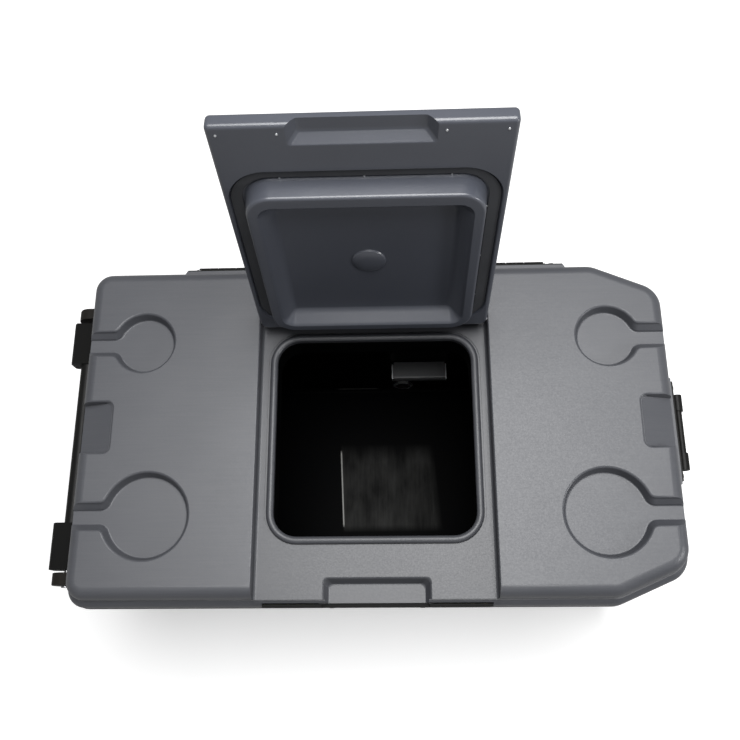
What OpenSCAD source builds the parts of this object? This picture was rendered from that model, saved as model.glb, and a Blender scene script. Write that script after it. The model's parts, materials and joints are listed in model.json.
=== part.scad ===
// Wheeled cooler whose lid is a table top. A hatch in the middle of the lid stands open.
// Lengths are in millimetres, Z is up, the front faces -Y and the ground is at Z = 0.

/* [Table top] */
// Length of the table top
deck_w = 760; // [730:1:820]
// Depth of the table top
deck_d = 434; // [424:1:460]
// Height of the table top above the ground
deck_h = 405; // [385:1:440]
// Thickness of the lid at its edge
lid_t = 46; // [44:1:54]
// Depth of the set-back upper part of the lid edge
step_h = 24; // [23:1:26]
// How far the lower edge stands out at the front
skirt_front = 8; // [6:0.5:12]
// How far the lower edge is set back in front of the hatch
skirt_set_back = 4.2; // [2:0.1:5]
// Length of the set-back in the lower edge
set_back_w = 283; // [200:1:290]
// How far the lower edge stands out at the sides
skirt_side = 4; // [2:0.5:6]
// How far the lower edge stands out at the back
skirt_back = 2; // [1:0.5:4]
// Rounding of the top edge
edge_r = 16; // [8:1:18]
// Plan radius of the two left corners
corner_r = 24; // [20:1:40]
// Plan radius at both ends of the cut right corners
cut_r = 34; // [24:1:44]
// Length of a cut corner along the table, between its two rounding centres
cut_run = 61; // [40:1:70]
// Depth of a cut corner, between its two rounding centres
cut_rise = 26; // [15:1:34]
// Wall of the moulded lid
lid_wall = 6; // [5:0.5:7]
// Height of the foam space in the lid
lid_core_h = 20; // [14:1:20]

/* [Hatch and its channel] */
// Width of the channel that the hatch lies in
channel_w = 299; // [290:1:310]
// Depth of the channel
channel_depth = 20; // [19:0.5:21]
// Fillet along the channel floor
channel_fillet = 4; // [2:0.5:5]
// Gap round the closed hatch
hatch_gap = 1.5; // [1:0.25:3]
// Thickness of the hatch slab
hatch_t = 18; // [16:0.5:18.5]
// Distance from the front edge to the closed hatch
hatch_front = 4; // [2:0.5:8]
// Angle at which the hatch leans open
open_angle = 100; // [95:1:102]
// Distance of the hatch axis from the front edge
pin_from_front = 359; // [352:1:364]
// Depth of the hatch axis below the table top
pin_depth = 6; // [5.5:0.25:7]
// Radius of a hatch pin
pin_r = 3; // [2:0.25:3.5]
// How far a hatch pin reaches into the hatch
pin_l = 28; // [20:1:32]
// How far a hatch pin reaches into the table
pin_seat = 13; // [8:1:18]
// Running clearance of every turning fit, on the radius
run_gap = 0.06; // [0.02:0.01:0.09]
// Width of the opening
opening_w = 255; // [240:1:262]
// Length of the opening, front to back
opening_l = 259; // [240:1:262]
// Distance of the opening from the front edge
opening_front = 76; // [74:1:84]
// Corner radius of the opening
opening_r = 30; // [20:1:40]
// Radius of the half-round bead round the opening
bead_r = 5; // [3:0.25:5]

/* [Hatch plug] */
// Gap between the plug and the opening
plug_gap = 1.8; // [1:0.1:4]
// Extra gap at the plug's front and back
plug_gap_y = 3.2; // [2:0.1:6]
// How far the plug reaches below the hatch slab
plug_h = 21; // [14:1:26]
// Draft of the plug's walls over its height
plug_draft = 1.5; // [0.5:0.1:3]
// Width of the groove along the plug's sides
groove_w = 16; // [13.5:0.5:18]
// Width of the groove along the plug's front and back
groove_end_w = 13.4; // [13.2:0.1:18]
// Thickness of the seal in the groove
seal_t = 1.5; // [1:0.1:3]
// Gap between the seal and the bead under the closed hatch
seal_gap = 0.5; // [0.3:0.1:1]
// Width of the rim round the pan in the plug
pan_rim = 14; // [8:1:24]
// Extra width of the pan's rim towards the hatch's tip
pan_rim_tip = 3; // [0:0.5:8]
// Depth of the pan in the plug
pan_depth = 16; // [8:1:17]
// Slope of the pan's walls, floor to rim
pan_slope = 8; // [3:1:12]
// Radius of the round boss in the pan
boss_r = 19; // [10:1:26]
// Height of the round boss
boss_h = 3; // [1:0.5:5]
// Width of the finger pocket at the hatch's tip
pocket_w = 141; // [90:1:160]
// Length of the finger pocket
pocket_l = 25.5; // [20:0.5:36]
// Depth of the finger pocket
pocket_depth = 9; // [7:0.5:12]
// Slope of the pocket's walls, floor to face
pocket_slope = 10; // [6:0.5:14]

/* [Cup recesses] */
// Depth of the cup recesses and their slots
cup_depth = 14; // [8:0.5:15]
// Draft of the cup walls over their depth
cup_draft = 3.5; // [1:0.25:5]
// Rim radius of the two rear cups
small_r = 41; // [34:1:44]
// Distance of the rear cups from the middle of the table
small_x = 303.4; // [290:0.1:310]
// Distance of the rear cups from the front edge
small_from_front = 330; // [322:1:340]
// Rim radius of the two front cups
big_r = 55; // [44:1:58]
// Distance of the front cups from the middle of the table
big_x = 285.5; // [278:0.5:292]
// Distance of the front cups from the front edge
big_from_front = 101; // [94:1:110]
// Width of a slot at its floor
slot_floor_w = 19.5; // [12:0.5:26]
// Width of a slot at the table top
slot_rim_w = 34; // [28:1:40]
// How far the funnel between cup and slot reaches along the slot
funnel_l = 12; // [6:1:18]

/* [Scoops and finger notch] */
// Length of a side scoop along the edge
scoop_l = 67; // [50:1:80]
// Reach of a side scoop in from the edge
scoop_in = 42; // [30:1:46]
// Depth of a side scoop at the edge
scoop_depth = 17; // [10:1:19]
// Middle of the side scoops, from the front edge
scoop_from_front = 215.5; // [205:0.5:225]
// Width of the finger notch in the channel floor
notch_w = 131; // [90:1:136]
// Middle of the finger notch, from the middle of the table
notch_x = 2; // [-3:0.5:3]
// Reach of the finger notch in from the front edge
notch_in = 25; // [15:1:34]
// Depth of the finger notch below the channel floor
notch_depth = 12; // [6:0.5:13]

/* [Tub] */
// Gap between the tub's rim and the lid
rim_gap = 1.5; // [1:0.1:2.5]
// Height of the tub's underside above the ground
ground_gap = 14; // [10:1:24]
// How far each wall draws in from rim to base
tub_draft = 14; // [8:1:16]
// Wall of the moulded tub
tub_wall = 5; // [4:0.5:6]
// Distance of the liner's mouth from the table's ends
liner_from_end = 50; // [46:1:70]
// Distance of the liner's mouth from the table's front and back
liner_from_side = 51; // [51:0.5:60]
// How far each liner wall draws in from mouth to floor
liner_draft = 12; // [10:1:16]
// Wall of the liner
liner_wall = 3; // [2:0.5:4]
// Corner radius of the liner
liner_r = 40; // [30:1:60]
// Height of the liner's floor above the ground
floor_h = 66; // [60:1:80]
// Length of the raised floor over the axle
hump_l = 92; // [80:1:110]
// Height of the raised floor above the ground
hump_h = 114; // [108:1:130]
// Reach of the lid's underside down into the tub
pan_drop = 14; // [8:1:24]
// Gap between the lid's underside and the liner
pan_gap = 6; // [4:1:12]
// Width of the lid seal
lid_seal_w = 8; // [5:0.5:12]

/* [Wheels and feet] */
// Radius of a wheel
wheel_r = 88; // [80:1:92]
// Width of a wheel
wheel_w = 38; // [30:1:38]
// Thickness of the tyre
tyre_t = 14; // [8:1:20]
// Distance of the axle from the right end of the table
wheel_from_end = 88; // [80:1:94]
// Distance of a wheel's outer face from the front edge of the table
wheel_in = 7; // [5:1:8]
// Gap round a wheel in its well
well_gap = 8; // [6:1:10]
// Radius of the axle
axle_r = 6; // [5:0.5:8]
// Windows in a wheel
spokes = 6; // [5:1:8]
// Radius of a foot
foot_r = 26; // [16:1:34]
// Distance of the feet from the left end of the table
foot_from_end = 62; // [55:1:90]
// Distance of a foot from the front or back of the table
foot_from_side = 67; // [57:1:97]
// Radius of the screw hole in a foot
foot_bore_r = 6; // [3:0.5:8]

/* [Rear hinge] */
// Length of the rear hinge strip
hinge_l = 518; // [480:1:560]
// How far the hinge boss stands out from the back of the tub
hinge_boss = 8; // [4:0.5:10]
// Length of the slope at each end of the hinge boss
boss_end = 5; // [2:0.5:10]
// Thickness of the hinge leaves
leaf_t = 3.5; // [2:0.5:4]
// Height of the tub's hinge leaf
tub_leaf_h = 28; // [20:1:32]
// Distance of the leaves from the edges of the lid and the tub
leaf_edge = 2; // [1:0.5:4]
// Distance from the leaves to the hinge axis
hinge_out = 6.5; // [6.5:0.5:9]
// Radius of a hinge knuckle
knuckle_r = 6; // [5.5:0.5:6]
// Length of a lid knuckle
knuckle_l = 26; // [18:1:28]
// Distance between the two knuckles of a pair
knuckle_pitch = 52; // [50:1:70]
// Middle of each knuckle pair, from the middle of the table
pair_x = [-208, 197];
// Radius of a hinge rod
rod_r = 3; // [2:0.5:4]
// Distance of the outer hinge screws from the strip's ends
screw_end = 15; // [8:1:24]
// Distance of a hinge screw from the middle of its knuckle pair
screw_pair = 56; // [52:1:62]
// Distance of the two middle hinge screws from the middle
screw_mid = 52; // [30:1:60]
// Radius of a screw head
screw_r = 4; // [3:0.5:5]
// Height of a screw head
screw_h = 2.2; // [1:0.1:3]

/* [Tow handle] */
// How far the tow handle stands out from the table edge
tow_out = 47; // [40:1:54]
// Middle of the tow handle, from the front edge
tow_from_front = 214.8; // [208:0.2:224]
// Depth of the tow handle's axis below the table top
tow_depth = 75; // [70:1:90]
// Distance of the tow handle's axis from the table edge
tow_axis_out = 25; // [22:1:28]
// Length of the tow tube that shows between the blocks
tow_bar_l = 222; // [180:2:240]
// Radius of the tow tube
tow_tube_r = 10; // [7:0.5:11]
// Length of a tow handle block
tow_block_l = 61; // [45:1:66]
// Height of a tow handle block
tow_block_h = 24; // [20:1:25]
// Gap between a block and its ear
tow_ear_gap = 4; // [2:0.5:6]
// Thickness of an ear
tow_ear_t = 16; // [10:1:20]
// Height of an ear
tow_ear_h = 36; // [30:1:40]
// Height of a tow bracket's plate
tow_plate_h = 48; // [40:1:50]
// Length of the tow handle's arms
tow_arm_l = 140; // [110:1:170]
// Width of a tow arm
tow_arm_w = 24; // [16:1:30]
// Radius of a tow pin
tow_pin_r = 4; // [3:0.5:5]
// Radius of the grip
grip_r = 14; // [12:0.5:15]
// Length of the grip
grip_l = 150; // [100:2:200]

/* [Tie bar] */
// How far the tie bar's knuckles stand out from the table edge
side_out = 30.5; // [26:0.5:36]
// Length of the tie bar's plate
side_plate_l = 135; // [120:1:160]
// Height of the tie bar's plate
side_plate_h = 44; // [36:1:60]
// Thickness of the tie bar's plate
side_plate_t = 3; // [2:0.5:4]
// Height of the plate's upper edge above the tie bar
side_plate_up = 12; // [8:1:20]
// Distance of the plate's screws from its edges
side_screw_in = 8; // [6:1:12]
// How far the pad under the plate stands out from the table edge
side_pad = 14; // [10:1:15]
// Depth of the tie bar below the table top
side_depth = 62; // [58:1:80]
// Distance between the inner faces of the knuckles
side_bar_l = 57; // [50:1:80]
// Length of a knuckle of the tie bar
side_knuckle_l = 22.5; // [14:0.5:26]
// Radius of the tie bar
side_rod_r = 4.5; // [3:0.25:4.75]

/* [Front latch] */
// Width of the latch recess in the tub
recess_w = 144; // [132:1:160]
// Height of the latch recess
recess_h = 150; // [140:1:180]
// Depth of the latch recess
recess_depth = 28; // [27:0.5:32]
// Width of the latch strap
strap_w = 112; // [80:1:116]
// Thickness of the latch strap
strap_t = 8; // [6:0.5:8]
// Distance of the strap from the latch axis
strap_off = 13; // [12:0.5:14]
// Thickness of the hook on the strap
hook_t = 3.5; // [2.5:0.5:4]
// Distance of the latch axis below the lid
latch_drop = 59; // [55:1:70]
// Radius of the latch pin
latch_pin_r = 3; // [2:0.5:3.5]
// Reach of the latch's plates below the pin
latch_plate_down = 30; // [24:1:34]
// Reach of the latch's plates above the pin
latch_plate_up = 22; // [12:1:24]
// Half the height of a latch bearing
latch_ear_r = 7; // [5:0.5:9]
// Width of a latch bearing
latch_ear_w = 6; // [4:0.5:7]
// Height of the keeper on the lid
keeper_h = 12; // [8:1:12]
// Height of the keeper strip beside the strap
keeper_side_h = 17; // [14:1:20]

/* [Drain and inner box] */
// Distance of the drain from the middle of the table
drain_x = 40; // [20:1:60]
// Height of the drain above the ground
drain_h = 90; // [88:1:96]
// Outer radius of the drain tube
drain_r = 12; // [9:0.5:14]
// Bore radius of the drain tube
drain_bore_r = 8; // [5:0.5:9]
// Width of the inner box
box_w = 82; // [50:1:110]
// Height of the inner box
box_h = 14; // [10:1:60]
// Depth of the inner box
box_d = 27; // [12:1:40]
// Middle of the inner box, from the middle of the table
box_x = 65; // [50:1:90]
// Height of the inner box above the liner's floor
box_up = 107; // [60:1:150]

/* [Hidden] */
eps = 0.01;
big = 1000;
$fn = 48;
arc_n = 8;

// Levels
top_z = deck_h;
channel_z = top_z - channel_depth;
lid_z = top_z - lid_t;
rim_z = lid_z - rim_gap;
pan_z = lid_z - pan_drop;

// Places measured from the front edge are turned into places from the middle
function fy(y) = y - deck_d / 2;
pin_y = fy(pin_from_front);
pin_z = top_z - pin_depth;
hatch_w = channel_w - 2 * hatch_gap;
hatch_y0 = fy(hatch_front);
hatch_y1 = pin_y - 2;
channel_y1 = pin_y + pin_depth + hatch_gap;
opening_y = fy(opening_front) + opening_l / 2;
bead_w = 2 * bead_r;
throat_t = 3;
throat_top = channel_z - 4;
hinge_leaf_y = deck_d / 2 + skirt_back + hinge_boss;
hinge_y = hinge_leaf_y + leaf_t + hinge_out;
hinge_z = lid_z - rim_gap / 2;
tow_x = -deck_w / 2 - tow_axis_out;
tow_z = top_z - tow_depth;
tow_ear_y = tow_bar_l / 2 + tow_block_l + tow_ear_gap;
tow_y = fy(tow_from_front);
side_x = deck_w / 2 + side_out - side_rod_r - 2;
side_z = top_z - side_depth;
side_y = fy(scoop_from_front);
skirt_y = -deck_d / 2 - skirt_front;
latch_y = skirt_y + 9;
latch_z = lid_z - latch_drop;
liner_w = deck_w - 2 * liner_from_end;
liner_d = deck_d - 2 * liner_from_side;
liner_base = floor_h - liner_wall;
wheel_x = deck_w / 2 - wheel_from_end;
foot_x = deck_w / 2 - foot_from_end;
foot_y = deck_d / 2 - foot_from_side;
groove_depth = bead_r - (channel_depth - hatch_t) + seal_t + seal_gap;
screw_x = [-hinge_l / 2 + screw_end, pair_x[0] + screw_pair, -screw_mid, screw_mid,
    pair_x[1] - screw_pair, hinge_l / 2 - screw_end];
keeper_mid_w = strap_w + 20;
keeper_t = skirt_set_back - 0.2;
wheel_y = deck_d / 2 - wheel_in - wheel_w / 2;
well_in = wheel_y - wheel_w / 2 - 4;

// The object is centred on its own bounding box, which the handles and the hinge widen
reach_left = deck_w / 2 + tow_out;
reach_right = deck_w / 2 + side_out;
reach_front = deck_d / 2 + skirt_front;
reach_back = hinge_y + knuckle_r;
module seat() translate([(reach_left - reach_right) / 2, (reach_front - reach_back) / 2, 0]) children();

// Colours
grey = [0.42, 0.42, 0.44];
dark_grey = [0.27, 0.28, 0.30];
black = [0.07, 0.07, 0.07];
foam_colour = [0.86, 0.80, 0.62];
steel = [0.72, 0.73, 0.74];

// Plan outline: square corners at the left, cut corners at the right.
// side, front and back widen it; inset draws it in parallel to itself.
module outline(side = 0, front = 0, back = 0, inset = 0) {
    l = -deck_w / 2 - side;
    r = deck_w / 2 + side;
    f = -deck_d / 2 - front;
    b = deck_d / 2 + back;
    a = atan(cut_rise / cut_run);
    cl = corner_r - inset;
    cc = cut_r - inset;
    x2 = r - cut_r - cut_run;
    x1 = r - cut_r;
    y2 = cut_r;
    y1 = cut_r + cut_rise;
    polygon([
        [l + inset, f + corner_r], [l + corner_r, f + inset],
        [x2, f + inset], [x2 + cc * sin(a), f + y2 - cc * cos(a)],
        [x1 + cc * sin(a), f + y1 - cc * cos(a)], [x1 + cc, f + y1],
        [x1 + cc, b - y1], [x1 + cc * sin(a), b - y1 + cc * cos(a)],
        [x2 + cc * sin(a), b - y2 + cc * cos(a)], [x2, b - inset],
        [l + corner_r, b - inset], [l + inset, b - corner_r]]);
    for (y = [f + corner_r, b - corner_r]) translate([l + corner_r, y]) circle(cl);
    for (p = [[x2, f + y2], [x1, f + y1], [x1, b - y1], [x2, b - y2]]) translate(p) circle(cc);
}

// The same outline as a list of points, counter-clockwise
function outline_points(side, front, back, inset) = let(
    l = -deck_w / 2 - side, r = deck_w / 2 + side, f = -deck_d / 2 - front, b = deck_d / 2 + back,
    a = atan(cut_rise / cut_run), cl = corner_r - inset, cc = cut_r - inset,
    x2 = r - cut_r - cut_run, x1 = r - cut_r, y2 = cut_r, y1 = cut_r + cut_rise) concat(
    arc(l + corner_r, f + corner_r, cl, 180, 270, arc_n), arc(x2, f + y2, cc, 270, 270 + a, 3),
    arc(x1, f + y1, cc, 270 + a, 360, arc_n), arc(x1, b - y1, cc, 0, 90 - a, arc_n),
    arc(x2, b - y2, cc, 90 - a, 90, 3), arc(l + corner_r, b - corner_r, cl, 90, 180, arc_n));

function rect_points(w, l, r) = concat(
    arc(w / 2 - r, l / 2 - r, r, 0, 90, arc_n), arc(-w / 2 + r, l / 2 - r, r, 90, 180, arc_n),
    arc(-w / 2 + r, -l / 2 + r, r, 180, 270, arc_n), arc(w / 2 - r, -l / 2 + r, r, 270, 360, arc_n));

// Solid through a stack of outlines, each [height, points], lowest first
module loft(slices) {
    n = len(slices[0][1]);
    k = len(slices);
    polyhedron(
        points = [for (s = slices, p = s[1]) [p[0], p[1], s[0]]],
        faces = concat([[for (i = [0:n - 1]) i]], [[for (i = [n - 1:-1:0]) (k - 1) * n + i]],
            [for (j = [0:k - 2], i = [0:n - 1])
                [j * n + i, (j + 1) * n + i, (j + 1) * n + (i + 1) % n, j * n + (i + 1) % n]]));
}

module rounded_rect(w, l, r) {
    square([w - 2 * r, l], center = true);
    square([w, l - 2 * r], center = true);
    for (x = [-1, 1], y = [-1, 1]) translate([x * (w / 2 - r), y * (l / 2 - r)]) circle(r);
}

// Prism of a rounded rectangle about the middle of the opening
module opening_prism(grow, z0, z1, grow_y = undef) {
    gy = is_undef(grow_y) ? grow : grow_y;
    translate([0, opening_y, z0]) linear_extrude(z1 - z0)
        rounded_rect(opening_w + 2 * grow, opening_l + 2 * gy, opening_r + grow);
}

// Bar with a given section in the XZ plane, running along Y from y0 to y1
module bar_y(points, y0, y1) {
    translate([0, y1, 0]) rotate([90, 0, 0]) linear_extrude(y1 - y0) polygon(points);
}

// Bar with a given section in the YZ plane, running along X from x0 to x1
module bar_x(points, x0, x1) {
    translate([x0, 0, 0]) rotate([90, 0, 90]) linear_extrude(x1 - x0) polygon(points);
}

module rod_x(r, x0, x1) translate([x0, 0, 0]) rotate([0, 90, 0]) cylinder(r = r, h = x1 - x0);
module rod_y(r, y0, y1) translate([0, y0, 0]) rotate([-90, 0, 0]) cylinder(r = r, h = y1 - y0);
module block(x0, x1, y0, y1, z0, z1) translate([x0, y0, z0]) cube([x1 - x0, y1 - y0, z1 - z0]);
function arc(cx, cy, r, a0, a1, n) =
    [for (i = [0:n]) [cx + r * cos(a0 + (a1 - a0) * i / n), cy + r * sin(a0 + (a1 - a0) * i / n)]];

// Bar along the back that carries a hinge leaf, sloping at its ends
module boss_block(y0, z0, z1) {
    x = hinge_l / 2;
    wall = deck_d / 2 + skirt_back - 1;
    translate([0, 0, z0]) linear_extrude(z1 - z0) polygon([[-x - boss_end, y0], [x + boss_end, y0],
        [x + boss_end, wall], [x, hinge_leaf_y], [-x, hinge_leaf_y], [-x - boss_end, wall]]);
}

// Lid

module deck_blank() {
    steps = 6;
    loft(concat([[top_z - step_h - 1, outline_points(0, 0, 0, 0)]], [for (i = [0:steps])
        [top_z - edge_r * (1 - sin(90 * i / steps)),
            outline_points(0, 0, 0, edge_r * (1 - cos(90 * i / steps)))]]));
    translate([0, 0, lid_z]) linear_extrude(lid_t - step_h) outline(skirt_side, skirt_front, skirt_back);
    boss_block(deck_d / 2 - corner_r, lid_z, top_z - step_h);
}

// Space for the hatch, with a fillet along each side of its floor
module channel() {
    h = channel_w / 2;
    f = channel_fillet;
    bar_y(concat([[-h, top_z + 1]], arc(-h + f, channel_z + f, f, 180, 270, 4),
        arc(h - f, channel_z + f, f, 270, 360, 4), [[h, top_z + 1]]), -big, channel_y1);
}

// Cup recess with a slot out to the nearer side; side is -1 or 1
module cup(x, y, r, side) {
    z = top_z - cup_depth;
    e = 1;
    d = cup_draft * (cup_depth + e) / cup_depth;
    translate([side * x, y, z]) cylinder(r1 = r - cup_draft, r2 = r - cup_draft + d, h = cup_depth + e);
    translate([side * x, y, 0]) scale([side, 1, 1]) {
        slope = (slot_rim_w - slot_floor_w) / 2 / cup_depth * e;
        bar_x([[-slot_floor_w / 2, z], [slot_floor_w / 2, z],
            [slot_rim_w / 2 + slope, top_z + e], [-slot_rim_w / 2 - slope, top_z + e]], r * 0.5, big);
        hull() {
            translate([0, 0, z]) linear_extrude(eps) funnel(r - cup_draft, slot_floor_w / 2);
            translate([0, 0, top_z + e]) linear_extrude(eps)
                funnel(r - cup_draft + d, slot_rim_w / 2 + slope);
        }
    }
}

// Plan of the funnel between a cup of radius r and its slot of half width h.
// Its sides run on a little way into the cup and into the slot.
module funnel(r, h) {
    a = asin(slot_rim_w / 2 / r) + 14;
    p = [r * cos(a), r * sin(a)];
    q = [r + funnel_l, h];
    u = p + (p - q) * 0.3;
    v = q + (q - p) * 0.15;
    polygon([[0, -1], [u[0], -u[1]], [v[0], -v[1]], v, u, [0, 1]]);
}

// Scoop at the edge, whose floor falls outwards
module scoop(side) {
    x = deck_w / 2;
    y = fy(scoop_from_front);
    r = 8;
    scale([side, 1, 1]) hull() {
        for (dy = [-1, 1]) {
            translate([x - scoop_in + r, y + dy * (scoop_l / 2 - r), top_z - 4])
                cylinder(r1 = r - 3, r2 = r + 1, h = 5, $fn = 32);
            translate([x + 8, y + dy * (scoop_l / 2 - r), top_z - scoop_depth - 2])
                cylinder(r1 = r - 4, r2 = r + 1, h = scoop_depth + 3, $fn = 32);
        }
    }
}

// Half-round bead: straight lengths and quarter rings about the corners of the opening,
// cut off a little by the opening
module bead() {
    c = bead_r - 0.5;
    r = opening_r + c;
    w = opening_w / 2 - opening_r;
    l = opening_l / 2 - opening_r;
    translate([0, opening_y, channel_z]) {
        for (s = [-1, 1]) {
            translate([s * (opening_w / 2 + c), 0, 0]) rod_y(bead_r, -l, l);
            translate([0, s * (opening_l / 2 + c), 0]) rod_x(bead_r, -w, w);
        }
        for (q = [[w, l, 0], [-w, l, 90], [-w, -l, 180], [w, -l, 270]])
            translate([q[0], q[1], 0]) rotate([0, 0, q[2]])
                rotate_extrude(angle = 90) translate([r, 0]) circle(bead_r);
    }
}

module deck() color(grey) seat() difference() {
    union() {
        difference() {
            deck_blank();
            channel();
        }
        bead();
    }
    opening_prism(0, 0, big);
    opening_prism(throat_t, 0, throat_top);
    // foam space, left solid round the throat, the notch and the latch
    difference() {
        translate([0, 0, lid_z - 1]) linear_extrude(lid_core_h + 1)
            outline(skirt_side, skirt_front, skirt_back, lid_wall);
        opening_prism(throat_t + lid_wall, 0, big);
        front_solid();
    }
    for (side = [-1, 1]) {
        cup(small_x, fy(small_from_front), small_r, side);
        cup(big_x, fy(big_from_front), big_r, side);
        scoop(side);
    }
    translate([0, pin_y, pin_z]) rod_x(pin_r, -channel_w / 2 - pin_seat, channel_w / 2 + pin_seat);
    block(notch_x - notch_w / 2, notch_x + notch_w / 2, -big, fy(notch_in), channel_z - notch_depth, top_z);
    block(notch_x - set_back_w / 2, notch_x + set_back_w / 2, -big, skirt_y + skirt_set_back,
        0, top_z - step_h + 1);
}

// What stays solid in the lid behind the notch and the set-back
module front_solid() {
    block(-recess_w / 2, recess_w / 2, -big, fy(notch_in) + lid_wall, 0, big);
    block(notch_x - set_back_w / 2 - lid_wall, notch_x + set_back_w / 2 + lid_wall, -big,
        skirt_y + skirt_set_back + lid_wall, 0, big);
}

module core_2d(inset) outline(skirt_side, skirt_front, skirt_back, inset);

module deck_foam() color(foam_colour) seat() difference() {
    union() {
        translate([0, 0, lid_z + liner_wall]) linear_extrude(lid_core_h - liner_wall) core_2d(lid_wall);
        translate([0, 0, pan_z + liner_wall]) linear_extrude(pan_drop + eps)
            rounded_rect(liner_w - 2 * (pan_gap + liner_wall), liner_d - 2 * (pan_gap + liner_wall),
                liner_r - pan_gap - liner_wall);
    }
    opening_prism(throat_t, 0, lid_z);
    opening_prism(throat_t + lid_wall, lid_z, big);
    front_solid();
}

module deck_pan() color(black) seat() {
    w = liner_w - 2 * pan_gap;
    l = liner_d - 2 * pan_gap;
    difference() {
        union() {
            difference() {
                translate([0, 0, lid_z]) linear_extrude(liner_wall) core_2d(lid_wall);
                front_solid();
            }
            translate([0, 0, pan_z]) linear_extrude(pan_drop + eps) rounded_rect(w, l, liner_r - pan_gap);
        }
        difference() {
            translate([0, 0, pan_z + liner_wall]) linear_extrude(big)
                rounded_rect(w - 2 * liner_wall, l - 2 * liner_wall, liner_r - pan_gap - liner_wall);
            opening_prism(throat_t, 0, big);
        }
        opening_prism(0, 0, big);
    }
    difference() {
        opening_prism(throat_t, pan_z, throat_top);
        opening_prism(0, 0, big);
    }
}

module deck_seal() color(black) seat() translate([0, 0, lid_z - rim_gap + 0.3])
    linear_extrude(rim_gap - 0.3) difference() {
        rounded_rect(liner_w + 4 * lid_seal_w, liner_d + 4 * lid_seal_w, liner_r + 2 * lid_seal_w);
        rounded_rect(liner_w + 2 * lid_seal_w, liner_d + 2 * lid_seal_w, liner_r + lid_seal_w);
    }

// Rear hinge

module knuckles(offsets, length, bore_r) {
    for (x = pair_x, dx = offsets) translate([x + dx, hinge_y, hinge_z]) difference() {
        union() {
            rod_x(knuckle_r, -length / 2, length / 2);
            children();
        }
        rod_x(bore_r, -big, big);
    }
}

module lid_hinge_leaf() color(black) seat() {
    l = knuckle_l;
    block(-hinge_l / 2, hinge_l / 2, hinge_leaf_y, hinge_leaf_y + leaf_t,
        lid_z + leaf_edge, top_z - step_h - leaf_edge);
    knuckles([-knuckle_pitch / 2, knuckle_pitch / 2], l, rod_r + run_gap)
        block(-l / 2, l / 2, -hinge_out - leaf_t / 2, 0, lid_z + 3 - hinge_z, knuckle_r);
}

module tub_hinge_leaf() color(black) seat() {
    l = knuckle_pitch - knuckle_l - 2;
    top = rim_z - leaf_edge;
    block(-hinge_l / 2, hinge_l / 2, hinge_leaf_y, hinge_leaf_y + leaf_t, top - tub_leaf_h, top);
    knuckles([0], l, rod_r)
        block(-l / 2, l / 2, -hinge_out - leaf_t / 2, 0, -knuckle_r, rim_z - 3 - hinge_z);
}

// Pan-head screws along a hinge leaf, at a given height
module hinge_screws(z) for (x = screw_x)
    translate([x, hinge_leaf_y + leaf_t, z]) rod_y(screw_r, 0, screw_h);
module lid_hinge_screws() color(steel) seat() hinge_screws((lid_z + top_z - step_h) / 2 + screw_r - 1);
module tub_hinge_screws() color(steel) seat() 
    hinge_screws(rim_z - leaf_edge - tub_leaf_h / 2 - screw_r);

module hinge_rods() color(steel) seat() for (x = pair_x) {
    l = knuckle_pitch + knuckle_l;
    translate([x, hinge_y, hinge_z]) {
        rod_x(rod_r, -l / 2 - 2, l / 2 + 2);
        for (s = [-1, 1]) translate([s * (l / 2 + 2), 0, 0]) rod_x(rod_r + 1, -1, 1);
    }
}

// Hatch, drawn closed and turned open about its pins

module open_hatch() seat() translate([0, pin_y, pin_z]) rotate([-open_angle, 0, 0])
    translate([0, -pin_y, -pin_z]) children();

module hatch_plan() {
    back_r = 12;
    front_r = 5;
    w = hatch_w / 2;
    polygon([[-w, hatch_y0 + front_r], [-w + front_r, hatch_y0], [w - front_r, hatch_y0],
        [w, hatch_y0 + front_r], [w, hatch_y1 - back_r], [w - back_r, hatch_y1],
        [-w + back_r, hatch_y1], [-w, hatch_y1 - back_r]]);
    for (s = [-1, 1]) {
        translate([s * (w - front_r), hatch_y0 + front_r]) circle(front_r);
        translate([s * (w - back_r), hatch_y1 - back_r]) circle(back_r);
    }
}

function plug_slice(z, inset) = [z, rect_points(opening_w - 2 * (plug_gap + inset),
    opening_l - 2 * (plug_gap_y + inset), opening_r - inset)];

// The same with a wider rim towards the hatch's tip
function pan_slice(z, inset) = [z, [for (p = rect_points(opening_w - 2 * (plug_gap + inset),
    opening_l - 2 * (plug_gap_y + inset) - pan_rim_tip, opening_r - inset)) p + [0, pan_rim_tip / 2]]];

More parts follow.
